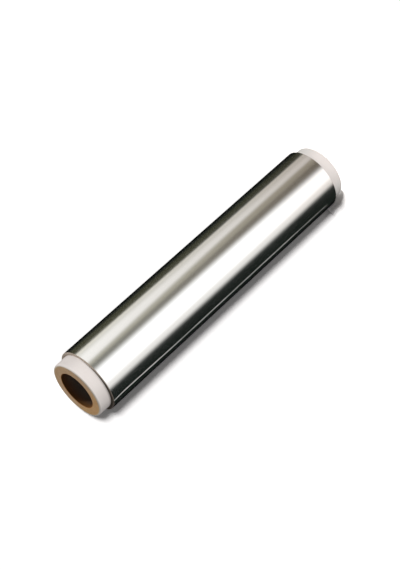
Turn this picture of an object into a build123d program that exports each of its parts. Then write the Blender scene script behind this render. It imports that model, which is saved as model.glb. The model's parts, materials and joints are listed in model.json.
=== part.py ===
from build123d import *
import os
from math import degrees, floor

# Roll of household aluminium foil, standing on one end of its tube.
# Three pieces: a brown kraft tube, a white board sleeve wound round it,
# and the foil itself, all of its turns as one solid.
# Millimetres, Z along the roll, origin at the middle of the lower end.

# Sizes along the roll
foil_width = 300.0  # the foil, from edge to edge
overhang = 12.5  # bare tube that stands out past the foil at each end

# Sizes across the roll
bore_diameter = 37.0  # hole through the tube, for a spindle
kraft_wall = 7.7  # brown board
sleeve_wall = 1.8  # white board round it
winding_wall = 3.0  # all turns of foil together

# Edges of the tube's cut ends
bore_edge_radius = 0.4
sleeve_edge_radius = 0.7

# Free end of the foil, a straight edge that runs along the roll
tail_angle = 209.5  # where it lies, in degrees round Z from X
outer_turn_step = 0.12  # how far the last turn stands above the one under it
lip_length = 1.6  # stretch of the last turn that curls away at its edge
lip_rise = 0.35  # height of that curl

# Turns as they show on the two ends of the winding: a shallow spiral gap
turn_pitch = 0.5  # from one gap to the next, measured outwards
gap_width = 0.14
gap_depth = 0.3
gap_margin = 0.4  # plain foil inside the first gap and outside the last

# Sizes that follow from those above
bore_radius = bore_diameter / 2
kraft_radius = bore_radius + kraft_wall
sleeve_radius = kraft_radius + sleeve_wall
foil_radius = sleeve_radius + winding_wall
tube_length = foil_width + 2 * overhang
foil_bottom = overhang
foil_top = overhang + foil_width


def around(radius, angle):
    """The point at this distance from the roll's axis, angle degrees round from X."""
    return Vector(radius, 0, 0).rotate(Axis.Z, angle)


def spiral(start_radius, pitch, half_turns, start_angle):
    """A spiral of half circles, each one wider than the last by half the pitch.

    It runs anticlockwise from the start, and its halves meet without a corner.
    """
    here = around(start_radius, start_angle)
    for half in range(half_turns):
        side = start_angle + 180 * half
        radius = start_radius + pitch * half / 2 + pitch / 4
        middle = here - around(radius, side)
        CenterArc(middle, radius, side, 180)
        here = middle + around(radius, side + 180)


# Kraft tube: the inner part of the core, brown board with a round bore
with BuildPart() as kraft_tube:
    with BuildSketch():
        Circle(kraft_radius)
        Circle(bore_radius, mode=Mode.SUBTRACT)
    extrude(amount=tube_length)
    bore_rims = kraft_tube.edges().filter_by(GeomType.CIRCLE).sort_by(SortBy.RADIUS)[:2]
    fillet(bore_rims, bore_edge_radius)
kraft_tube.part.label = "kraft_tube"

# White sleeve: the outer board of the core, which shows as a collar at each end
with BuildPart() as white_sleeve:
    with BuildSketch():
        Circle(sleeve_radius)
        Circle(kraft_radius, mode=Mode.SUBTRACT)
    extrude(amount=tube_length)
    outer_rims = white_sleeve.edges().filter_by(GeomType.CIRCLE).sort_by(SortBy.RADIUS)[-2:]
    fillet(outer_rims, sleeve_edge_radius)
white_sleeve.part.label = "white_sleeve"

# Foil winding: the outermost turn falls by one step as it goes once round,
# so that it ends as an edge above the turn beneath it. The edge curls away a little.
lip_angle = degrees(lip_length / foil_radius)
lip_foot = around(foil_radius, tail_angle + lip_angle)
lip_crest = around(foil_radius + lip_rise, tail_angle)
half_way = around(foil_radius, tail_angle + 180)
step_foot = around(foil_radius - outer_turn_step, tail_angle)
under_radius = foil_radius - outer_turn_step / 2
under_centre = half_way - around(under_radius, tail_angle + 180)

first_gap_radius = sleeve_radius + gap_margin
gap_room = winding_wall - outer_turn_step - 2 * gap_margin
gap_half_turns = 2 * floor(gap_room / turn_pitch)

with BuildPart() as foil_winding:
    with BuildSketch(Plane.XY.offset(foil_bottom)):
        with BuildLine():
            CenterArc((0, 0), foil_radius, tail_angle + lip_angle, 180 - lip_angle)
            CenterArc(under_centre, under_radius, tail_angle + 180, 180)
            Line(step_foot, lip_crest)
            TangentArc(lip_foot, lip_crest, tangent=around(1, tail_angle + lip_angle - 90))
        make_face()
        Circle(sleeve_radius, mode=Mode.SUBTRACT)
    extrude(amount=foil_width)
    for end, inward in ((foil_top, -1), (foil_bottom, 1)):
        with BuildSketch(Plane.XY.offset(end)):
            with BuildLine():
                spiral(first_gap_radius, turn_pitch, gap_half_turns, tail_angle)
            trace(line_width=gap_width)
        extrude(amount=inward * gap_depth, mode=Mode.SUBTRACT)
foil_winding.part.label = "foil_winding"

os.makedirs("parts", exist_ok=True)
for piece in (kraft_tube, white_sleeve, foil_winding):
    export_step(piece.part, f"parts/{piece.part.label}.step")
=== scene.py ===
# %% [markdown]
# A roll of household foil, dressed in Blender
#
# The CAD model gives three closed solids at their real size: a brown kraft tube, a white
# board sleeve round it, and the foil, whose turns are one solid. This lesson keeps their
# places and sizes, and gives each of them a finer mesh and a finish of its own. The roll
# stands on one end of its tube, as a roll does that has to stay where it is put.

import json
import math
import random

import bmesh
import bpy
from mathutils import Matrix, Vector


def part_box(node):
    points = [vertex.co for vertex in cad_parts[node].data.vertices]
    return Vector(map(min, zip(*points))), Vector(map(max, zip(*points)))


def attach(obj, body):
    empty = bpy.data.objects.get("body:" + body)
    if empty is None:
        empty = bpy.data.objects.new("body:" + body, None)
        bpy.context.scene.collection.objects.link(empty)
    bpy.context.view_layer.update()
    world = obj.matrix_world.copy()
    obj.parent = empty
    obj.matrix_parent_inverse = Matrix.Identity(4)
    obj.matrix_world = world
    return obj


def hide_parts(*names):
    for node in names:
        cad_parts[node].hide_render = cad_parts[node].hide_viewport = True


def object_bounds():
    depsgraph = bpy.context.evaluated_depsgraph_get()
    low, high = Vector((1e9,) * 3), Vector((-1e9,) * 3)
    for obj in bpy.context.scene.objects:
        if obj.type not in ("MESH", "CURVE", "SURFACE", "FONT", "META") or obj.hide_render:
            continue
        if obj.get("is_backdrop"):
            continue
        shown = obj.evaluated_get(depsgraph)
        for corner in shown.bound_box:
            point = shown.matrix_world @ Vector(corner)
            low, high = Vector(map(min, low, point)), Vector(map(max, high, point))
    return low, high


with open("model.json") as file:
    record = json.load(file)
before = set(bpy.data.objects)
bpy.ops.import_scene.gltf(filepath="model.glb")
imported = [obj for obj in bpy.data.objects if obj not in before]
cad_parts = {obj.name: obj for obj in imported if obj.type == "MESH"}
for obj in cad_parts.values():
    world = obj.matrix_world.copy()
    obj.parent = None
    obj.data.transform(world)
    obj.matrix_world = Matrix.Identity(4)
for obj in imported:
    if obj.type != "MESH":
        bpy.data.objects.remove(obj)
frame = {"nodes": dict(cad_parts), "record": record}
cad_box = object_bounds()
print("CAD pieces:", sorted(frame["nodes"]))

# %% [markdown]
# Every size comes from the frame, so that the meshes stay where the CAD pieces are.
# Blender's unit here is the metre, and the small sizes are easier to read in millimetres,
# so one value turns millimetres into metres.

# %% Read the roll's sizes
mm = 0.001
bore_radius = frame["record"]["mounts"][0]["dims"]["r_mm"] * mm
kraft_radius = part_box("kraft_tube")[1].x
sleeve_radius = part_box("white_sleeve")[1].x
foil_radius = max(-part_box("foil_winding")[0].y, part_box("foil_winding")[1].x)
foil_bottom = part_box("foil_winding")[0].z
foil_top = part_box("foil_winding")[1].z
tube_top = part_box("kraft_tube")[1].z
middle = Vector((0, 0, tube_top / 2))
print(f"tube {tube_top / mm:.1f} mm long, foil {(foil_top - foil_bottom) / mm:.1f} mm wide")
print(f"radii in mm: bore {bore_radius / mm:.2f}, kraft {kraft_radius / mm:.2f},"
      f" sleeve {sleeve_radius / mm:.2f}, foil {foil_radius / mm:.2f}")

# %% [markdown]
# The photograph shows the roll slanting across an upright picture, with its nearer end
# low on the left. A roll that stands can be seen just so if the camera looks down on it
# and is turned about its own line of sight. Three turns make that rotation: the camera is
# tipped up from looking straight down, carried round the roll, and rolled. The lens is
# given for the height of the picture, which is its longer side.

# %% Camera
camera_place = Vector((0.0003, -1.1315, 0.7301))
camera_azimuth = math.radians(0.2)
camera_elevation = math.radians(26.25)
camera_roll = math.radians(-132.2)
picture_height_mm = 36.0
lens_mm = 89.36


def new_object(name, data):
    """An object made of this data, put in the scene."""
    thing = bpy.data.objects.new(name, data)
    bpy.context.scene.collection.objects.link(thing)
    return thing


camera_data = bpy.data.cameras.new("picture_camera")
camera_data.sensor_fit = "VERTICAL"
camera_data.sensor_height = picture_height_mm
camera_data.sensor_width = picture_height_mm
camera_data.lens = lens_mm
camera = new_object("picture_camera", camera_data)
carried_round = Matrix.Rotation(camera_azimuth, 4, "Z")
tipped = Matrix.Rotation(math.pi / 2 - camera_elevation, 4, "X")
rolled = Matrix.Rotation(camera_roll, 4, "Z")
camera.matrix_world = Matrix.Translation(camera_place) @ carried_round @ tipped @ rolled
bpy.context.scene.camera = camera
bpy.context.scene.view_settings.view_transform = "Standard"
print(f"camera {(camera_place - middle).length:.3f} m from the middle of the roll")

# %% [markdown]
# Materials and the surround are both made of nodes. A short helper adds a node, sets its
# options and fills its inputs, either with a number or with another node's output, so
# that the recipes further down read like a list of steps. Others do sums, soft ramps and
# blends of colours. A colour is either three numbers or another node's output.

# %% Helpers for nodes
def fill(tree, node, inputs):
    """Fills inputs, by name or number, with a value or with another node's output."""
    for key, value in inputs.items():
        socket = node.inputs[key]
        if isinstance(value, bpy.types.NodeSocket):
            tree.links.new(value, socket)
        else:
            socket.default_value = (*value, 1.0) if socket.type == "RGBA" else value


def add_node(tree, kind, inputs=None, options=None):
    """A new node, with its inputs filled and its options set."""
    node = tree.nodes.new(kind)
    for name, value in (options or {}).items():
        setattr(node, name, value)
    fill(tree, node, inputs or {})
    return node


def sum_node(tree, operation, first, second=0.0, third=0.0):
    """The output of one Math node."""
    values = {0: first, 1: second, 2: third}
    return add_node(tree, "ShaderNodeMath", values, {"operation": operation}).outputs[0]


def ramp(tree, value, start, end, low, high, kind="LINEAR"):
    """A ramp from low, where value is at start, to high, where it is at end."""
    options = {"interpolation_type": kind}
    inputs = {"Value": value, "From Min": start, "From Max": end, "To Min": low, "To Max": high}
    return add_node(tree, "ShaderNodeMapRange", inputs, options).outputs["Result"]


def smooth_step(tree, value, start, end, low=0.0, high=1.0):
    """A ramp that sets off softly and arrives softly."""
    return ramp(tree, value, start, end, low, high, "SMOOTHSTEP")


def two_colours(tree, share, first, second):
    """A blend of two colours, from the first where share is 0 to the second where it is 1."""
    inputs = {0: share, 6: first, 7: second}
    return add_node(tree, "ShaderNodeMix", inputs, {"data_type": "RGBA"}).outputs[2]


def colour_sum(tree, operation, first, second):
    """Two colours, added or multiplied."""
    inputs = {0: first, 1: second}
    return add_node(tree, "ShaderNodeVectorMath", inputs, {"operation": operation}).outputs[0]


def either(tree, share, first, second):
    """The first shader where share is 0, and the second where it is 1."""
    inputs = {0: share, 1: first, 2: second}
    return add_node(tree, "ShaderNodeMixShader", inputs).outputs[0]


def scaled(tree, colour, share):
    """A colour made dimmer or brighter."""
    inputs = {0: colour, "Scale": share}
    return add_node(tree, "ShaderNodeVectorMath", inputs, {"operation": "SCALE"}).outputs[0]


# %% [markdown]
# Polished foil has hardly any colour of its own: what we see on it is the room. In a
# product picture the room is a few large cards, white ones for the bright bands and black
# ones for the dark bands, with soft edges. Real cards could stand round the roll, but they
# would also hide it from other sides. Here the world plays that part, for reflected rays
# alone: a direction's azimuth tells which card it meets. Azimuth 0 is the camera's side,
# and it grows towards -X. Each card fades in between its first two azimuths and out
# between its last two, and cards that overlap add up. There is a white card to one side of
# the camera and a warm one to the other side. The warm one is built up from five families,
# because its parts don't all change in the same way from one end of the roll to the other.

# %% The cards round the roll
cards = (
    # name, family, azimuths of its near fade, azimuths of its far fade, colour
    ("white card", "white", (-21, 2), (57.0, 76.0), (0.87, 0.85, 0.82)),
    ("middle of the white card", "white", (-21, 2), (36.8, 52.8), (0.43, 0.45, 0.48)),
    ("near foot of the warm card", "near foot", (-97.2, -91), (-15, -2), (0.190, 0.187, 0.165)),
    ("far foot of the warm card", "far foot", (-97.2, -91), (-15, -2), (0.198, 0.166, 0.132)),
    ("skirt of the warm card", "skirt", (-97.2, -91), (-37.6, -27.0), (0.173, 0.164, 0.127)),
    ("warm card", "warm", (-97.2, -91), (-54, -43), (0.190, 0.187, 0.196)),
    ("bright edge of the warm card", "edge", (-96.4, -91.6), (-89, -81.5), (0.145, 0.142, 0.133)),
    ("middle of the warm card", "warm", (-90, -64), (-58, -46), (0.262, 0.262, 0.285)),
    ("faint olive card", "warm", (-138, -115), (-100, -90), (0.038, 0.035, 0.018)),
)
black_card = (0.0115, 0.0150, 0.0130)
white = (1.0, 1.0, 1.0)

world = bpy.data.worlds.new("studio")
bpy.context.scene.world = world
world.use_nodes = True
world.cycles.sampling_method = "NONE"
sky = world.node_tree
sky.nodes.clear()

direction = add_node(sky, "ShaderNodeTexCoord").outputs["Generated"]
parts = add_node(sky, "ShaderNodeSeparateXYZ", {0: direction}).outputs
minus_x = sum_node(sky, "MULTIPLY", parts["X"], -1.0)
minus_y = sum_node(sky, "MULTIPLY", parts["Y"], -1.0)
azimuth = sum_node(sky, "DEGREES", sum_node(sky, "ARCTAN2", minus_x, minus_y))
elevation = sum_node(sky, "DEGREES", sum_node(sky, "ARCSINE", parts["Z"]))
print(len(cards), "cards in front of the roll:", [card[0] for card in cards])

# %% [markdown]
# The bands on the roll aren't quite parallel to it: the warm one is broader and brighter
# at the end near the camera. Rays that bounce off that end go down less steeply, so the
# card that they meet may depend on their elevation. The warm card reaches further to both
# sides, and is brighter, where the ray is less steep. Its skirt moves less. Its foot stays
# put and only changes from neutral to a redder brown, as if from a near card to a far one.
# The white card is narrower where the ray is steepest. Each family therefore has an azimuth
# of its own for either fade, and a brightness of its own.

# %% How the cards change with elevation
far_ray = -33.0  # elevation of the rays from the roll's far end
near_ray = -20.0  # and of those from the end near the camera
reach = ramp(sky, elevation, -28.0, -19.8, -2.0, 8.0)  # degrees
delay = ramp(sky, elevation, -32.0, -30.0, -5.5, 0.0)  # degrees
warm_level = ramp(sky, elevation, far_ray, near_ray, 0.71, 1.33)
nearness = ramp(sky, elevation, far_ray, near_ray, 0.0, 1.0)
farness = ramp(sky, elevation, far_ray, near_ray, 1.0, 0.0)
foot_level = ramp(sky, elevation, far_ray, -28.0, 0.68, 1.0)
warm_start = sum_node(sky, "MULTIPLY_ADD", reach, 0.55, azimuth)
families = {
    # the azimuth that the near fade goes by, the one that the far fade goes by, brightness
    "white": (
        sum_node(sky, "ADD", azimuth, delay),
        sum_node(sky, "MULTIPLY_ADD", delay, -0.5, azimuth),
        1.0,
    ),
    "near foot": (warm_start, azimuth, nearness),
    "far foot": (warm_start, azimuth, sum_node(sky, "MULTIPLY", farness, foot_level)),
    "edge": (warm_start, warm_start, 1.0),
    "skirt": (warm_start, sum_node(sky, "MULTIPLY_ADD", reach, -0.45, azimuth), warm_level),
    "warm": (warm_start, sum_node(sky, "MULTIPLY_ADD", reach, -1.4, azimuth), warm_level),
}
print(len(families), "families of cards:", list(families))

# %% [markdown]
# Now the cards are hung. The black card comes first. It is the ground that the others
# stand before, and it is darker still behind the roll. Each card's mask is how far it has
# faded in and not yet out. In the end, all the light is a little dimmer and redder where
# the ray is steepest. Rays that go up meet hardly any card in front, so that the rims of
# the foil stay dark.

# %% Hang the cards
black_card_sides = (131.0, 152.0)
black_card_behind = 0.2
far_tint = (0.95, 0.89, 0.86)
far_tint_ends = -30.0
front_tops = (4.0, 14.0)  # elevations between which the cards in front fade out
above_the_cards = 0.1

either_side = sum_node(sky, "ABSOLUTE", azimuth)
dark = smooth_step(sky, either_side, *black_card_sides, 1.0, black_card_behind)
glow = scaled(sky, black_card, dark)
for name, family, near_fade, far_fade, colour in cards:
    near_azimuth, far_azimuth, level = families[family]
    risen = smooth_step(sky, near_azimuth, *near_fade)
    fallen = smooth_step(sky, far_azimuth, *far_fade, 1.0, 0.0)
    mask = sum_node(sky, "MULTIPLY", sum_node(sky, "MULTIPLY", risen, fallen), level)
    glow = colour_sum(sky, "ADD", glow, scaled(sky, colour, mask))
steepest = ramp(sky, elevation, far_ray, far_tint_ends, 1.0, 0.0)
glow = colour_sum(sky, "MULTIPLY", glow, two_colours(sky, steepest, white, far_tint))
glow = scaled(sky, glow, smooth_step(sky, elevation, *front_tops, 1.0, above_the_cards))
print("nodes in the world so far:", len(sky.nodes))

# %% [markdown]
# Behind the roll the cards hang higher up, out of what the camera sees in the foil's side,
# for someone who walks round to the back. Higher still, only the left one goes on: the
# foil's end face, which looks up, mirrors it, and is dark on the right.

# %% Cards behind the roll
raised_level = 0.7
raised_sides = (112.0, 138.0)
raised_from = (-17.0, -9.0)  # elevations between which they fade in
right_card_top = (2.0, 8.0)  # elevations between which the right one fades out
left_of_middle = (-170.0, -145.0)

behind = smooth_step(sky, either_side, *raised_sides)
high_enough = smooth_step(sky, elevation, *raised_from, 0.0, raised_level)
raised = sum_node(sky, "MULTIPLY", behind, high_enough)
high_up = smooth_step(sky, elevation, *right_card_top)
on_the_left = smooth_step(sky, azimuth, *left_of_middle)
on_the_left = sum_node(sky, "MULTIPLY", on_the_left, sum_node(sky, "LESS_THAN", azimuth, 0.0))
kept = add_node(sky, "ShaderNodeMix", {0: high_up, 2: 1.0, 3: on_the_left}).outputs[0]
raised = sum_node(sky, "MULTIPLY", raised, kept)
glow = colour_sum(sky, "ADD", glow, scaled(sky, white, raised))
print("nodes in the world so far:", len(sky.nodes))

# %% [markdown]
# The Light Path node says what kind of ray is asking. Rays that the foil reflects get the
# cards, but not those on their way back from a diffuse surface, or the foil would throw
# the cards' light onto the floor and wash out its shadow. Scattered rays get a weak even
# light from all round, and the camera sees plain white.

# %% What each kind of ray sees
even_surround = 0.05


def surround(colour, strength):
    """A background of this colour."""
    inputs = {"Color": colour, "Strength": strength}
    return add_node(sky, "ShaderNodeBackground", inputs).outputs[0]


ray = add_node(sky, "ShaderNodeLightPath").outputs
not_yet_scattered = sum_node(sky, "LESS_THAN", ray["Diffuse Depth"], 0.5)
sees_cards = sum_node(sky, "MULTIPLY", ray["Is Glossy Ray"], not_yet_scattered)
sees_white = sum_node(sky, "ADD", ray["Is Camera Ray"], ray["Is Transmission Ray"])
lit = either(sky, sees_cards, surround(white, even_surround), surround(glow, 1.0))
seen = either(sky, sees_white, lit, surround(white, 1.0))
add_node(sky, "ShaderNodeOutputWorld", {"Surface": seen})
print("nodes in the finished world:", len(sky.nodes))

# %% [markdown]
# The lamps light the paper parts and the ground. The key lamp is a broad one beside the
# camera, and it throws a soft shadow along one side of the roll. The other lamps only
# shape the pieces: light linking keeps them off the floor, so that they can't weaken that
# shadow. The low lamp on the left grazes the mouth of the bore. The last one is there for
# the foil's end face: from high on the left, it leaves the face dark on the right, where
# the collar is in its way. Strengths are given as the brightness that a white surface
# facing the lamp would have, which is the sun's strength divided by pi. No lamp is
# mirrored by the foil.

# %% Lamps
pieces_only = bpy.data.collections.new("pieces_only")
foil_only = bpy.data.collections.new("foil_only")
lamps = (
    # name, azimuth, elevation, brightness, angle across, what it lights, what shades it
    ("key_lamp", -14.2, 20.0, 0.62, 11.0, None, None),
    ("high_left_lamp", -60.0, 45.0, 0.235, 12.0, pieces_only, None),
    ("right_side_lamp", 43.0, 10.0, 0.315, 12.0, pieces_only, None),
    ("rear_left_lamp", -140.0, 0.0, 0.38, 12.0, pieces_only, None),
    ("rear_right_lamp", 150.0, 0.0, 0.05, 12.0, pieces_only, None),
    ("low_left_lamp", -95.0, 10.0, 0.155, 16.0, pieces_only, pieces_only),
    ("foil_end_lamp", -82.0, 50.0, 0.85, 20.0, foil_only, None),
)

for name, from_azimuth, from_elevation, brightness, across, receivers, shading in lamps:
    data = bpy.data.lights.new(name, "SUN")
    data.energy = math.pi * brightness
    data.angle = math.radians(across)
    lamp = new_object(name, data)
    lamp.visible_glossy = False
    carried = Matrix.Rotation(math.radians(-from_azimuth), 4, "Z")
    tipped = Matrix.Rotation(math.radians(90 - from_elevation), 4, "X")
    lamp.matrix_world = Matrix.Translation((0, 0, 1)) @ carried @ tipped
    if receivers:
        lamp.light_linking.receiver_collection = receivers
    if shading:
        lamp.light_linking.blocker_collection = shading
    print(f"{name}: {data.energy:.2f} W/m2")

# %% [markdown]
# A roll that lies on a table has its shadow beside it, equally wide from end to end. This
# roll stands, so its shadow on the floor would be a wedge. A pale board stands upright
# close behind it and takes the table's place: the shadow on the board runs along the roll.
# Floor and board are plain sheets. Their colour for camera rays is set so that the key
# lamp brings it just to white: they vanish, and only the shadow is left. The board is
# clear from behind, so that it never hides the roll's back, and no other ray meets it.

# %% Floor and board
sheet_half_width = 6.0
board_height = 2.0
board_place = foil_radius + 0.3 * mm
pale_floor = (0.80, 0.79, 0.78)
floor_for_camera = (4.0, 3.94, 3.92)
board_for_camera = (1.58, 1.56, 1.555)


def bare_material(name):
    """A material with an empty node tree."""
    material = bpy.data.materials.new(name)
    material.use_nodes = True
    material.node_tree.nodes.clear()
    return material, material.node_tree


def pale_paper(name, colour, colour_for_camera, clear_from_behind=False):
    """Diffuse paper that has one colour for the camera and another for other rays."""
    material, tree = bare_material(name)
    is_camera = add_node(tree, "ShaderNodeLightPath").outputs["Is Camera Ray"]
    mixed = two_colours(tree, is_camera, colour, colour_for_camera)
    surface = add_node(tree, "ShaderNodeBsdfDiffuse", {"Color": mixed}).outputs[0]
    if clear_from_behind:
        from_behind = add_node(tree, "ShaderNodeNewGeometry").outputs["Backfacing"]
        clear = add_node(tree, "ShaderNodeBsdfTransparent").outputs[0]
        surface = either(tree, from_behind, surface, clear)
    add_node(tree, "ShaderNodeOutputMaterial", {"Surface": surface})
    return material


def new_mesh(name, points, faces):
    """A mesh of these points, and of faces that count them from 0."""
    mesh = bpy.data.meshes.new(name)
    mesh.from_pydata(points, [], faces)
    return mesh


def add_sheet(name, corners, material):
    """A flat four-cornered sheet that isn't part of the object. The foil doesn't mirror it."""
    mesh = new_mesh(name, corners, [(0, 1, 2, 3)])
    mesh.materials.append(material)
    sheet = new_object(name, mesh)
    sheet.visible_glossy = False
    sheet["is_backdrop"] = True
    return sheet


left = -sheet_half_width
right = sheet_half_width
floor_corners = [(left, left, 0), (right, left, 0), (right, right, 0), (left, right, 0)]
floor_paper = pale_paper("floor_paper", pale_floor, floor_for_camera)
add_sheet("floor", floor_corners, floor_paper)
board_foot = [(left, board_place, 0), (right, board_place, 0)]
board_top = [(right, board_place, board_height), (left, board_place, board_height)]
board_paper = pale_paper("board_paper", pale_floor, board_for_camera, clear_from_behind=True)
board = add_sheet("board_behind", board_foot + board_top, board_paper)
board.visible_diffuse = False
board.visible_transmission = False
board.visible_shadow = False
print(f"board {board_place / mm:.1f} mm behind the roll's axis")

# %% [markdown]
# In the photograph the hole through the tube is nearly black, since no lamp looks into
# it. A card over the mouth of the bore, which only shadow rays can see, keeps the lamps
# out here as well. It lies a little lower than the cut face, and so it shades nothing but
# the bore.

# %% The card over the bore
def around(radius, angle, height):
    """The point at this distance from the axis, angle round from X, and height."""
    return (radius * math.cos(angle), radius * math.sin(angle), height)


def add_shading_card(name, points, faces):
    """A flat card that no ray but a shadow ray meets. It isn't part of the object."""
    card = new_object(name, new_mesh(name, points, faces))
    card.visible_camera = False
    card.visible_diffuse = False
    card.visible_glossy = False
    card.visible_transmission = False
    card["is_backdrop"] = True
    print(f"{name}: {len(points)} points")
    return card


bore_card_points = 64
bore_card_height = tube_top - 0.12 * mm
bore_card_rim = []
for i in range(bore_card_points):
    angle = 2 * math.pi * i / bore_card_points
    bore_card_rim.append(around(bore_radius + 0.05 * mm, angle, bore_card_height))
add_shading_card("bore_card", bore_card_rim, [tuple(range(bore_card_points))])

# %% [markdown]
# A second card deepens the shadow that the collar throws on the foil's end face. It is an
# arc just above the right part of that face. It starts narrow and slowly grows as wide as
# the face, as the collar's own shadow does.

# %% The card over the foil's end face
arc_first = 310.0  # degrees round from X
arc_last = 152.0
arc_strips = 48
arc_height = foil_top + 0.03 * mm
arc_first_share = 0.04  # of the face's width
arc_growth = 1.95
full_width = foil_radius + 0.3 * mm - sleeve_radius
arc_points = []
for i in range(arc_strips + 1):
    share = i / arc_strips
    angle = math.radians(arc_first + share * (arc_last - arc_first))
    width = full_width * min(1.0, arc_first_share + arc_growth * share)
    arc_points.append(around(sleeve_radius + 0.02 * mm, angle, arc_height))
    arc_points.append(around(sleeve_radius + width, angle, arc_height))
arc_faces = [(2 * i, 2 * i + 1, 2 * i + 3, 2 * i + 2) for i in range(arc_strips)]
add_shading_card("arc_card", arc_points, arc_faces)

# %% [markdown]
# A third card lies close above the floor and widens the shadow beside the foot, because
# the foil of a roll that lies down casts one there too. It is drawn by where its shadow is
# wanted, and then moved back towards the key lamp by as far as that lamp throws a shadow
# from its height. Its outer edge is cut into fine teeth, and so the shadow fades out.

# %% The outline of the card at the foot
foot_height = 0.8 * mm
foot_strips = 60
foot_first = -10.0 * mm  # where the shadow starts and ends, towards the board
foot_last = 32.0 * mm
foot_start = 28.0 * mm  # how far it is from the roll's axis there, and how much it widens
foot_growth = 11.5 * mm
foot_growth_ends = 8.0 * mm
foot_fade = 3.0 * mm
key_azimuth = math.radians(lamps[0][1])
key_elevation = math.radians(lamps[0][2])
thrown = foot_height / math.tan(key_elevation)
back = Vector((-thrown * math.sin(key_azimuth), -thrown * math.cos(key_azimuth)))


def foot_shadow(toward_board):
    """Where the shadow starts beside the collar, begins to fade, and ends, along X."""
    share = min(1.0, (toward_board - foot_first) / (foot_growth_ends - foot_first))
    edge = -foot_start - foot_growth * math.sqrt(share)
    from_axis = (sleeve_radius + 0.3 * mm) ** 2 - (toward_board + back.y) ** 2
    wall = -math.sqrt(max(0.0, from_axis)) - back.x
    fading = min(wall, edge + foot_fade)
    return wall, fading, min(fading, edge - foot_fade)


foot_points = []
for i in range(2 * foot_strips + 1):
    toward_board = foot_first + (foot_last - foot_first) * i / (2 * foot_strips)
    for across in foot_shadow(toward_board):
        foot_points.append((across + back.x, toward_board + back.y, foot_height))
print(f"the key lamp throws a shadow {thrown / mm:.1f} mm from that height")

# %% [markdown]
# Each strip of this card is a four-sided face beside the collar and a triangle for its
# tooth. The card is thin paper: it stops every shadow ray, but only a share of all other
# rays. So it also holds back part of the light that the white collar sheds on the floor,
# which would make the shadow too pale.

# %% The card at the foot
paper_cover = 0.67


def thin_paper(name, cover):
    """Paper that stops every shadow ray and this share of all other rays."""
    material, tree = bare_material(name)
    is_shadow = add_node(tree, "ShaderNodeLightPath").outputs["Is Shadow Ray"]
    share = sum_node(tree, "MAXIMUM", is_shadow, cover)
    clear = add_node(tree, "ShaderNodeBsdfTransparent").outputs[0]
    surface = add_node(tree, "ShaderNodeBsdfDiffuse", {"Color": pale_floor}).outputs[0]
    add_node(tree, "ShaderNodeOutputMaterial", {"Surface": either(tree, share, clear, surface)})
    return material


foot_faces = []
for i in range(0, 6 * foot_strips, 6):
    foot_faces.append((i, i + 1, i + 7, i + 6))
    foot_faces.append((i + 1, i + 5, i + 7))
foot_card = add_shading_card("foot_card", foot_points, foot_faces)
foot_card.data.materials.append(thin_paper("foot_paper", paper_cover))
foot_card.visible_diffuse = True

# %% [markdown]
# All three pieces are rings: a cross-section carried round the roll's axis. Blender's Spin
# and Screw tools do that, but the foil's outline isn't quite round, and the cut ends need
# relief that changes from place to place. So one helper takes the points of every column
# and joins them into a closed skin, whose last column meets its first.

# %% Helpers for ring-shaped pieces
crease_angle = math.radians(40)  # sharper edges than this stay sharp


def ring_mesh(name, columns, finish_of_place):
    """A closed ring. columns[i][j] is point j of the cross-section at column i."""
    places = len(columns[0])
    points = [point for column in columns for point in column]
    faces = []
    finishes = []
    for i in range(len(columns)):
        here = i * places
        there = (i + 1) % len(columns) * places
        for j in range(places):
            k = (j + 1) % places
            faces.append((here + j, there + j, there + k, here + k))
            finishes.append(finish_of_place[j])
    mesh = new_mesh(name, points, faces)
    mesh.polygons.foreach_set("material_index", finishes)
    return mesh


def end_finishes(places, at_each_end):
    """Finish 1 for the places near either end of a cross-section, and 0 between them."""
    last = places - at_each_end - 1
    return [1 if j < at_each_end or j >= last else 0 for j in range(places)]


def finish_piece(name, mesh, materials, node):
    """Puts a mesh in the scene in place of a CAD node."""
    for material in materials:
        mesh.materials.append(material)
    mesh.shade_smooth()
    mesh.set_sharp_from_angle(angle=crease_angle)
    piece = new_object(name, mesh)
    pieces_only.objects.link(piece)
    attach(piece, "root")
    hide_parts(node)
    triangles = sum(len(face.vertices) - 2 for face in mesh.polygons)
    print(f"{name}: {len(mesh.vertices)} points, {triangles} triangles")
    return piece


def rounded_corner(radius, height, rounding, outward, steps=4):
    """(radius, height) points over a rounded top corner, in the order that they are met.

    outward is 1 for an outer corner, met on the way out, and -1 for a bore's corner.
    """
    centre = radius - outward * rounding
    found = []
    for step in range(steps + 1):
        share = step / steps if outward > 0 else 1 - step / steps
        turn = share * math.pi / 2
        across = centre + outward * rounding * math.sin(turn)
        found.append((across, height - rounding * (1 - math.cos(turn))))
    return found


# %% [markdown]
# Materials next. On all three pieces the grain runs round the roll or along it, so they
# share one set of coordinates: the angle round the axis, and in millimetres the distance
# along the roll and the distance from its axis. They come from the object's own
# coordinates, and so they stay with the piece.

# %% Coordinates for the finishes
def new_material(name):
    """A node material, its tree and its shader."""
    material, tree = bare_material(name)
    shader = add_node(tree, "ShaderNodeBsdfPrincipled")
    add_node(tree, "ShaderNodeOutputMaterial", {"Surface": shader.outputs[0]})
    return material, tree, shader


def roll_coordinates(tree):
    """X, Y, angle round the axis, distance along it and distance from it, as outputs."""
    place = add_node(tree, "ShaderNodeTexCoord").outputs["Object"]
    x, y, z = add_node(tree, "ShaderNodeSeparateXYZ", {0: place}).outputs
    angle = sum_node(tree, "ARCTAN2", y, x)
    flat = add_node(tree, "ShaderNodeCombineXYZ", {0: x, 1: y}).outputs[0]
    length = add_node(tree, "ShaderNodeVectorMath", {0: flat}, {"operation": "LENGTH"})
    out = sum_node(tree, "DIVIDE", length.outputs["Value"], mm)
    along = sum_node(tree, "DIVIDE", z, mm)
    return x, y, angle, along, out


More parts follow.
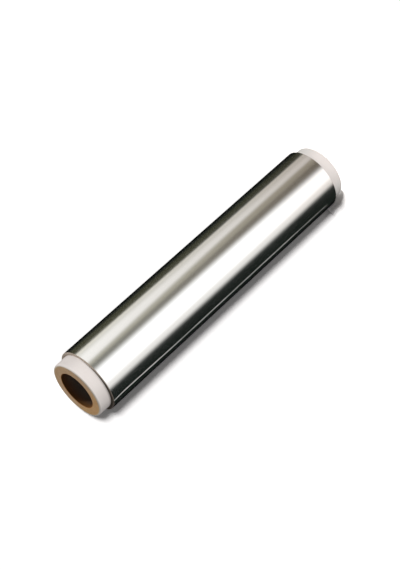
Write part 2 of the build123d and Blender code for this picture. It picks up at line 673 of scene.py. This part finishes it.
def from_middle(tree, along):
    """How far along the roll a point lies from its middle, in millimetres."""
    return sum_node(tree, "ABSOLUTE", sum_node(tree, "SUBTRACT", along, middle.z / mm))


def stretched_noise(tree, x, y, along, across_scale, along_scale, detail=4.0):
    """Noise that runs in streaks. Scales are waves for each millimetre."""
    inputs = {
        0: sum_node(tree, "MULTIPLY", x, across_scale / mm),
        1: sum_node(tree, "MULTIPLY", y, across_scale / mm),
        2: sum_node(tree, "MULTIPLY", along, along_scale),
    }
    place = add_node(tree, "ShaderNodeCombineXYZ", inputs).outputs[0]
    inputs = {"Vector": place, "Scale": 1.0, "Detail": detail}
    return add_node(tree, "ShaderNodeTexNoise", inputs).outputs[0]


def bump(tree, height, depth):
    """A bump of this depth, in metres, where height goes from 0 to 1."""
    inputs = {"Height": height, "Distance": depth}
    return add_node(tree, "ShaderNodeBump", inputs).outputs[0]


# %% [markdown]
# The kraft tube is wound from many plies of brown paper. On its cut end the plies show as
# fine rings, a shade darker where the glue is, and the saw leaves the fibres a little
# rough. Rings are a wave of the distance from the axis, bent by noise so that they don't
# look turned on a lathe. Towards -X the face is more golden.

# %% The kraft board's cut face
ply = 0.55  # millimetres
kraft_light = (0.72, 0.520, 0.330)
kraft_dark = (0.475, 0.293, 0.162)
golden_tint = (1.05, 0.955, 0.78)
golden_side = (-2 * mm, -18 * mm)  # along X, where it begins and where it is full


def kraft_cut():
    """Sawn brown board with rings of glue."""
    material, tree, shader = new_material("kraft_cut_face")
    x, y, _, along, out = roll_coordinates(tree)
    fibre = stretched_noise(tree, x, y, along, 1.4, 1.4)
    blotch = stretched_noise(tree, x, y, along, 0.16, 0.16, 2.0)
    bent = sum_node(tree, "MULTIPLY_ADD", fibre, 0.22, out)
    wave = sum_node(tree, "SINE", sum_node(tree, "MULTIPLY", bent, 2 * math.pi / ply))
    ring = sum_node(tree, "MULTIPLY_ADD", wave, 0.24, 0.5)
    shade = sum_node(tree, "MULTIPLY_ADD", fibre, 0.9, -0.45)
    patch = sum_node(tree, "MULTIPLY_ADD", blotch, 0.8, -0.4)
    mottled = sum_node(tree, "ADD", shade, sum_node(tree, "ADD", patch, ring))
    board = two_colours(tree, mottled, kraft_light, kraft_dark)
    tint = two_colours(tree, smooth_step(tree, x, *golden_side), white, golden_tint)
    relief = sum_node(tree, "MULTIPLY_ADD", ring, -0.4, fibre)
    fill(tree, shader, {
        "Base Color": colour_sum(tree, "MULTIPLY", board, tint),
        "Roughness": 0.9,
        "Specular IOR Level": 0.25,
        "Normal": bump(tree, relief, 0.12 * mm),
    })
    return material


print("kraft plies across the wall:", round((kraft_radius - bore_radius) / mm / ply))

# %% [markdown]
# Inside the tube, the innermost ply is darker, with a faint helical joint where the strip
# of paper meets itself. Near the mouths the colour is a painted glow: a deep red-brown that
# stands for the light that gets in and meets brown paper more than once.

# %% The kraft board's inside
bore_light = (0.62, 0.56, 0.50)
bore_dark = (0.48, 0.43, 0.38)
# a painted glow near the mouths, for light that has bounced between brown paper
painted_mouth_glow = (0.50, 0.225, 0.078)
mouth_depth = 13.0  # millimetres from the end, where the glow begins
mouth_full = 1.0  # and where it is full
joint_pitch = 96.0  # millimetres along the tube for one turn of the joint


def kraft_bore():
    """Smooth brown paper with a helical joint, and a painted glow near the mouths."""
    material, tree, shader = new_material("kraft_bore_ply")
    x, y, angle, along, _ = roll_coordinates(tree)
    fibre = stretched_noise(tree, x, y, along, 0.5, 0.9)
    turned = sum_node(tree, "MULTIPLY", angle, joint_pitch / (2 * math.pi))
    phase = sum_node(tree, "DIVIDE", sum_node(tree, "ADD", along, turned), joint_pitch)
    from_joint = sum_node(tree, "PINGPONG", phase, 0.5)
    joint = smooth_step(tree, from_joint, 0.0, 0.005, 1.0, 0.0)
    share = sum_node(tree, "ADD", fibre, sum_node(tree, "MULTIPLY", joint, 0.6))
    inside = two_colours(tree, share, bore_light, bore_dark)
    mouth = (middle.z / mm - mouth_depth, middle.z / mm - mouth_full)
    mouth_glow_share = smooth_step(tree, from_middle(tree, along), *mouth)
    relief = sum_node(tree, "SUBTRACT", fibre, joint)
    fill(tree, shader, {
        "Base Color": two_colours(tree, mouth_glow_share, inside, painted_mouth_glow),
        "Roughness": 0.8,
        "Specular IOR Level": 0.25,
        "Normal": bump(tree, relief, 0.08 * mm),
    })
    return material


print(f"turns of the joint in the bore: {tube_top / mm / joint_pitch:.1f}")

# %% [markdown]
# The tube's mesh follows its cross-section: up the bore, over a small worn corner, out
# across the cut plies, and down the outside, which the sleeve hides. The lower half is
# the upper one mirrored. Each glue line is a shallow groove, and a seeded random shift of
# a few hundredths of a millimetre gives the sawn face its tooth.

# %% Kraft tube
tube_columns = 288
ply_groove = 0.05 * mm
saw_tooth = 0.015 * mm
bore_corner = 0.4 * mm


def mirrored(upper):
    """The upper half of a cross-section, followed by the same half upside down."""
    return upper + [(across, -height) for across, height in reversed(upper)]


def plies_across(inner, outer, height):
    """(radius, height) points across a sawn face, with a groove at each glue line."""
    count = round((outer - inner) / (ply * mm))
    step = (outer - inner) / count
    found = []
    for i in range(1, count):
        glue_line = inner + i * step
        for aside, down in ((-0.3, 0.0), (0.0, ply_groove), (0.3, 0.0)):
            found.append((glue_line + aside * step, height - down))
    return found


half_tube = tube_top / 2
upper = [(bore_radius, half_tube * share) for share in (0.25, 0.5, 0.75, 0.9)]
upper += rounded_corner(bore_radius, half_tube, bore_corner, -1)
bore_places = len(upper) - 1
upper += plies_across(bore_radius + bore_corner, kraft_radius, half_tube)
upper += [(kraft_radius, half_tube)]
section = mirrored(upper)

chance = random.Random(11)
columns = []
for i in range(tube_columns):
    angle = 2 * math.pi * i / tube_columns
    column = []
    for across, height in section:
        sawn = abs(height) > half_tube - ply_groove * 1.5 and across < kraft_radius
        shift = chance.uniform(-saw_tooth, 0) * math.copysign(1, height) if sawn else 0.0
        column.append(around(across, angle, middle.z + height + shift))
    columns.append(column)
kraft_finishes = [kraft_cut(), kraft_bore()]
kraft_mesh = ring_mesh("kraft_board_tube", columns, end_finishes(len(section), bore_places))
finish_piece("kraft_board_tube", kraft_mesh, kraft_finishes, "kraft_tube")

# %% [markdown]
# The white sleeve is smooth coated board. It shows as a collar at each end, with a soft
# outer corner where the saw has crushed the board, more at the upper end. It is nearly white
# with a trace of warmth, and faint fibres that only show in raking light. Beside the foil a
# thin grey band is painted shade where the collar meets the foil, stronger on one side, with
# a little grey that the aluminium has rubbed off on it. The upper rim is darker, more on one
# side, and at the two sides of the lower end the board is more neutral. One helper adds
# these to a colour.

# %% Marks and painted shade on the white board
# painted shade where the collar meets the foil, with a little grey rubbed off the foil in it
rub_and_contact_shade = (0.30, 0.28, 0.255)
rub_and_shade_width = 2.2  # millimetres
rub_and_shade_side = math.radians(195)  # where it is strongest, round from X
rub_and_shade_spread = -0.3  # the cosine of how far it goes round from there
# the upper rim is darker, more on one side
darker_rim = (0.36, 0.325, 0.28)
darker_rim_depths = (1.3, 0.2)  # millimetres below the top, where it begins and is full
darker_rim_side = math.radians(250)
darker_rim_spread = 0.2
strongest_darkening = 0.75
lower_tint = (0.985, 1.02, 1.02)
lower_heights = (40.0, 20.0)  # millimetres
lower_sides = (-0.85 * sleeve_radius, -0.62 * sleeve_radius)  # along Y


def marked_and_shaded(tree, board, y, angle, along):
    """The colour with painted shade and rubbed grey by the foil, darker rim and neutral lower
    end.
    """
    foil_half = (foil_top - foil_bottom) / 2 / mm
    aside = from_middle(tree, along)
    beside_foil = smooth_step(tree, aside, foil_half, foil_half + rub_and_shade_width, 1.0, 0.0)
    at_rim = smooth_step(tree, along, *(tube_top / mm - depth for depth in darker_rim_depths))
    # painted shade beside the foil, and the darker rim, each strongest on one side
    for darker_colour, where, side, spread in (
        (rub_and_contact_shade, beside_foil, rub_and_shade_side, rub_and_shade_spread),
        (darker_rim, at_rim, darker_rim_side, darker_rim_spread),
    ):
        toward = sum_node(tree, "COSINE", sum_node(tree, "SUBTRACT", angle, side))
        strength = smooth_step(tree, toward, spread, 1.0, 0.0, strongest_darkening)
        board = two_colours(tree, sum_node(tree, "MULTIPLY", where, strength), board, darker_colour)
    at_sides = smooth_step(tree, y, *lower_sides)
    neutral = sum_node(tree, "MULTIPLY", smooth_step(tree, along, *lower_heights), at_sides)
    return colour_sum(tree, "MULTIPLY", board, two_colours(tree, neutral, white, lower_tint))


# %% [markdown]
# Beneath the marks and painted shade, the board varies between two near whites in faint
# clouds and streaks. Its cut face is yellower, because the coating ends there.

# %% White board
board_light = (0.82, 0.765, 0.735)
board_shade = (0.76, 0.70, 0.665)
board_cut_light = (0.74, 0.67, 0.54)
board_cut_dark = (0.58, 0.50, 0.38)


def white_board(name, light, shade):
    """Smooth board that varies between these two colours."""
    material, tree, shader = new_material(name)
    x, y, angle, along, _ = roll_coordinates(tree)
    fibre = stretched_noise(tree, x, y, along, 0.9, 0.5)
    cloud = stretched_noise(tree, x, y, along, 0.07, 0.07, 2.0)
    streaks = sum_node(tree, "MULTIPLY_ADD", fibre, 0.4, -0.25)
    share = sum_node(tree, "MULTIPLY_ADD", cloud, 0.9, streaks)
    board = two_colours(tree, share, light, shade)
    fill(tree, shader, {
        "Base Color": marked_and_shaded(tree, board, y, angle, along),
        "Roughness": sum_node(tree, "MULTIPLY_ADD", fibre, 0.2, 0.5),
        "Specular IOR Level": 0.35,
        "Normal": bump(tree, fibre, 0.02 * mm),
    })
    return material


board_finishes = [
    white_board("white_board", board_light, board_shade),
    white_board("white_board_cut_face", board_cut_light, board_cut_dark),
]
print("finishes of the white board:", len(board_finishes))

# %% [markdown]
# The sleeve's mesh is carried round in the same way. Its own saw crushed the board at the
# upper end, so that corner is rounder than the lower one. A few more points down the
# collar let it bend the light evenly, and the foil hides what lies between the two collars.

# %% White sleeve
crushed_corner = 1.6 * mm  # at the upper end
plain_corner = 0.7 * mm  # at the lower end


def half_sleeve(corner):
    """The upper half of the sleeve's cross-section, from its cut end to below the collar."""
    found = [(kraft_radius, half_tube)]
    found += rounded_corner(sleeve_radius, half_tube, corner, 1, 9)
    return found + [(sleeve_radius, half_tube - step * mm) for step in (3, 6, 9, 12, 14)]


upper = half_sleeve(crushed_corner)
lower = mirrored(half_sleeve(plain_corner))[len(upper):]
section = upper + lower
cut_places = 3

columns = []
for i in range(tube_columns):
    angle = 2 * math.pi * i / tube_columns
    columns.append([around(across, angle, middle.z + height) for across, height in section])
sleeve_mesh = ring_mesh("white_board_sleeve", columns, end_finishes(len(section), cut_places))
finish_piece("white_board_sleeve", sleeve_mesh, board_finishes, "white_sleeve")

# %% [markdown]
# Foil is rolled between polished steel rolls, which leave lines so fine that they only
# blur reflections across them. The lines run the long way of the strip, so on the roll
# they run round it, and reflections are drawn out along the roll while their edges stay
# crisp round it. That is anisotropy: the tangent runs round the axis. The cut ends of the
# turns are duller and a little warmer, because each turn shows only its edge.

# %% Foil
foil_colour = (0.93, 0.93, 0.925)
foil_shade = (0.89, 0.89, 0.885)
edge_colour = (0.35, 0.295, 0.245)
edge_shade = (0.18, 0.145, 0.115)
fine_turn = 0.11  # millimetres from one fine edge to the next


def bright_foil():
    """Bright aluminium with rolling lines round the roll."""
    material, tree, shader = new_material("bright_foil")
    x, y, _, along, _ = roll_coordinates(tree)
    lines = stretched_noise(tree, x, y, along, 0.02, 9.0, 3.0)
    haze = stretched_noise(tree, x, y, along, 0.03, 0.02, 3.0)
    round_axis = {"direction_type": "RADIAL", "axis": "Z"}
    tangent = add_node(tree, "ShaderNodeTangent", options=round_axis)
    fill(tree, shader, {
        "Base Color": two_colours(tree, lines, foil_colour, foil_shade),
        "Metallic": 1.0,
        "Roughness": sum_node(tree, "MULTIPLY_ADD", haze, 0.05, 0.128),
        "Anisotropic": 0.45,
        "Tangent": tangent.outputs[0],
        "Normal": bump(tree, lines, 0.004 * mm),
    })
    return material


def foil_edges():
    """The cut edges of many turns, finer than the mesh could show them."""
    material, tree, shader = new_material("foil_cut_edges")
    x, y, _, along, out = roll_coordinates(tree)
    fray = stretched_noise(tree, x, y, along, 0.25, 0.25, 3.0)
    bent = sum_node(tree, "MULTIPLY_ADD", fray, 0.2, out)
    wave = sum_node(tree, "SINE", sum_node(tree, "MULTIPLY", bent, 2 * math.pi / fine_turn))
    height = sum_node(tree, "MULTIPLY_ADD", wave, 0.5, 0.5)
    share = sum_node(tree, "MULTIPLY_ADD", wave, 0.2, fray)
    fill(tree, shader, {
        "Base Color": two_colours(tree, share, edge_colour, edge_shade),
        "Metallic": 0.2,
        "Roughness": 0.5,
        "Normal": bump(tree, height, 0.02 * mm),
    })
    return material


foil_finishes = [bright_foil(), foil_edges()]
print("finishes of the foil:", len(foil_finishes))

# %% [markdown]
# The winding is a spiral, so its outline falls by one step where the outermost turn
# ends. Two half circles with slightly different centres draw it, as in the CAD model. A
# real winding is never a perfect cylinder either: it is a little wider on one side, and
# low swells of about a hundredth of a millimetre make the reflections waver. This is what
# tells foil from chrome tube.

# %% The winding's outline
tail_angle = math.radians(211.8)
step_down = 0.12 * mm
widest = 0.4 * mm
swell_height = 0.010 * mm
# each swell's waves round the roll, its waves in 4 mm along it, and its phase
swells = ((3, 0.011, 0.4), (5, -0.023, 1.9), (8, 0.017, 3.3), (13, 0.031, 5.1), (2, 0.052, 2.2))


def outline(turned):
    """The winding's radius, turned round from the free edge, anticlockwise."""
    if turned < math.pi:
        return foil_radius
    half_step = step_down / 2
    return foil_radius - half_step + half_step * math.cos(turned - math.pi)


def out_of_round(angle):
    """How much wider the winding is towards -X, where it was pressed less hard."""
    return widest * max(0.0, -math.cos(angle)) ** 2


def swell(angle, height):
    """How far the foil stands above its outline here. Each swell has its own slant."""
    total = 0.0
    for waves, along, start in swells:
        total += math.sin(waves * angle + 2 * math.pi * along * height / mm / 4 + start)
    return swell_height * (total / len(swells) - 1.0)


lowest = outline(2 * math.pi)
print(f"the last turn stands {(foil_radius - lowest) / mm:.2f} mm above the one beneath it")

# %% [markdown]
# On the two end faces the turns show as a spiral of fine edges, some standing a little
# prouder than others. The height of the face depends on how many turns lie inside a
# point: its distance from the core, in turns, less the part of a turn already gone round.
# A list of seeded heights, one for each turn, blends smoothly from one to the next. Beside
# the collar the foil has drawn back a little, and the face falls away towards the rim.

# %% End faces of the winding
shown_turns = 9
steps_per_turn = 6
turn_depth = 0.22 * mm
groove_depth = 0.10 * mm
outward_fall = 0.30 * mm
collar_gap = 0.4 * mm
gap_share = 0.28  # of the face's width, beside the collar
blend_from = 0.35  # where, between two turns, the height changes
blend_width = 0.3
chance = random.Random(5)
turn_heights = [chance.random() for _ in range(shown_turns + 2)]


def end_sink(share, turned):
    """How far the end face lies inside the foil's width, share of the way outwards."""
    phase = share * shown_turns + 1 - turned / (2 * math.pi)
    turn = int(phase)
    into = phase - turn
    blend = max(0.0, min(1.0, (into - blend_from) / blend_width))
    level = turn_heights[turn % len(turn_heights)] * (1 - blend)
    level += turn_heights[(turn + 1) % len(turn_heights)] * blend
    groove = (0.5 + 0.5 * math.cos(2 * math.pi * (into - 0.5))) ** 3
    gap = collar_gap * (1 - min(1.0, share / gap_share)) ** 0.5
    return turn_depth * level + groove_depth * groove + outward_fall * share**2 + gap


print("the end face's turns:", [round(height, 2) for height in turn_heights])

# %% [markdown]
# The columns start at the free edge and run once round. The last one ends just short of
# the first, and the narrow face between them is the step. The rim between the cut edges
# and the bright outside is a narrow slope with the duller finish. At the lower end the foil
# wandered a little as it was wound: it reaches further down at the two sides.

# %% Foil winding
foil_columns = 420
foil_rows = 48
rim_rounding = 0.25 * mm
step_gap = math.radians(0.06)
side_reach = 1.5  # millimetres that the lower end reaches further down at the two sides
uneven_reach = 0.4  # and how much more that is towards +X
half_width = (foil_top - foil_bottom) / 2
steps = shown_turns * steps_per_turn
shares = [i / steps for i in range(steps + 1)]


def reach_down(angle):
    """How much further down the lower end reaches here."""
    return (side_reach + uneven_reach * math.cos(angle)) * mm * math.cos(angle) ** 4


columns = []
for i in range(foil_columns):
    turned = (2 * math.pi - step_gap) * i / (foil_columns - 1)
    angle = tail_angle + turned
    radius = outline(turned) + out_of_round(angle)
    edge = radius - rim_rounding
    top_face = []
    for share in shares:
        across = sleeve_radius + share * (edge - sleeve_radius)
        top_face.append((across, half_width - end_sink(share, turned)))
    rim_height = top_face[-1][1] - rim_rounding
    reach_here = reach_down(angle)
    wall = []
    for row in range(foil_rows + 1):
        height = rim_height - (2 * rim_height + reach_here) * row / foil_rows
        wall.append((radius + swell(angle, height), height))
    bottom_face = []
    for across, height in reversed(top_face):
        share = (across - sleeve_radius) / (edge - sleeve_radius)
        bottom_face.append((across, -height - reach_here * share**0.5))
    section = top_face + wall + bottom_face
    columns.append([around(across, angle, middle.z + height) for across, height in section])
end_places = len(top_face)
wall_places = len(wall) - 1
finish_of_place = [1] * end_places + [0] * wall_places + [1] * end_places + [0]
foil_mesh = ring_mesh("foil_turns", columns, finish_of_place)
print("places round the foil's cross-section:", len(columns[0]))

# %% [markdown]
# The free edge of the foil never lies quite flat. Its last millimetre springs away and
# catches the light as one bright hairline along the roll. It is a thin sheet of its own
# that grows out of the last turn: it starts sunk just under the surface, lies along it, and
# curls up at the end. The edge wasn't cut quite square to the roll, so it runs a little
# further round towards the lower end, and there it clings to the turn beneath. Its root is
# straight, and lies where the winding has its step.

# %% Free edge
curl_length = 1.2 * mm
highest_lift = 0.50 * mm
edge_root = tail_angle + math.radians(2.3)
lip_thickness = 0.04 * mm
lip_root_sink = 0.05 * mm
lip_low = foil_bottom + 0.3 * mm
lip_high = foil_top - 0.3 * mm
lip_across = 16
lip_along = 150
# soft steps along the edge: how much, and the heights in mm where they begin and end
turned_back = ((2.4, 290, 205), (1.1, 70, 0), (1.2, 288, 299))  # degrees
turned_on = 0.3
lifted = ((0.77, 4, 16), (0.03, 16, 60), (0.05, 200, 240), (-0.05, 245, 285))


def eased(value, start, end):
    """A soft step from 0, where value is at start, to 1, where it is at end."""
    share = max(0.0, min(1.0, (value - start) / (end - start)))
    return share * share * (3 - 2 * share)


def built_up(value, steps):
    """The sum of some soft steps."""
    return sum(most * eased(value, start, end) for most, start, end in steps)


def edge_angle(height):
    """Where the free edge lies at this height, as an angle round from X."""
    above = (height - foil_bottom) / mm
    return tail_angle + math.radians(turned_on - built_up(above, turned_back))


def lip_lift(height):
    """The curl's height at its edge, with two slow waves that keep it from being even."""
    above = (height - foil_bottom) / mm
    waver = 1 + 0.03 * math.sin(above / 13 + 0.7) + 0.02 * math.sin(above / 4.9)
    return highest_lift * built_up(above, lifted) * waver


def free_edge_mesh():
    """The curled strip, as a closed thin sheet."""
    points = []
    for i in range(lip_along + 1):
        height = lip_low + (lip_high - lip_low) * i / lip_along
        lift = lip_lift(height)
        width = (edge_root - edge_angle(height)) * foil_radius
        outer = []
        inner = []
        for j in range(lip_across + 1):
            share = j / lip_across
            angle = edge_root - share * width / foil_radius
            curled = max(0.0, 1 - width * (1 - share) / curl_length)
            rise = lift * curled**2 - lip_root_sink * max(0.0, 1 - 4 * share)
            radius = foil_radius + out_of_round(angle) + rise
            outer.append(around(radius, angle, height))
            inner.append(around(radius - lip_thickness, angle, height))
        points += outer + list(reversed(inner))
    loop = 2 * (lip_across + 1)
    faces = [tuple(reversed(range(loop)))]
    for i in range(lip_along):
        for j in range(loop):
            k = (j + 1) % loop
            faces.append((i * loop + j, i * loop + k, (i + 1) * loop + k, (i + 1) * loop + j))
    faces.append(tuple(lip_along * loop + j for j in range(loop)))
    return new_mesh("free_edge", points, faces)


winding_and_edge = bmesh.new()
winding_and_edge.from_mesh(foil_mesh)
winding_and_edge.from_mesh(free_edge_mesh())
winding_and_edge.to_mesh(foil_mesh)
winding_and_edge.free()
foil = finish_piece("foil_turns", foil_mesh, foil_finishes, "foil_winding")
foil_only.objects.link(foil)

# %% [markdown]
# Last, the model's box is printed beside the CAD box, because dressing a part must not
# change its size.

# %% Print both boxes
dressed_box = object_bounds()
for label, (low, high) in (("CAD", cad_box), ("dressed", dressed_box)):
    print(label, "box in mm:", [round(side / mm, 2) for side in high - low])
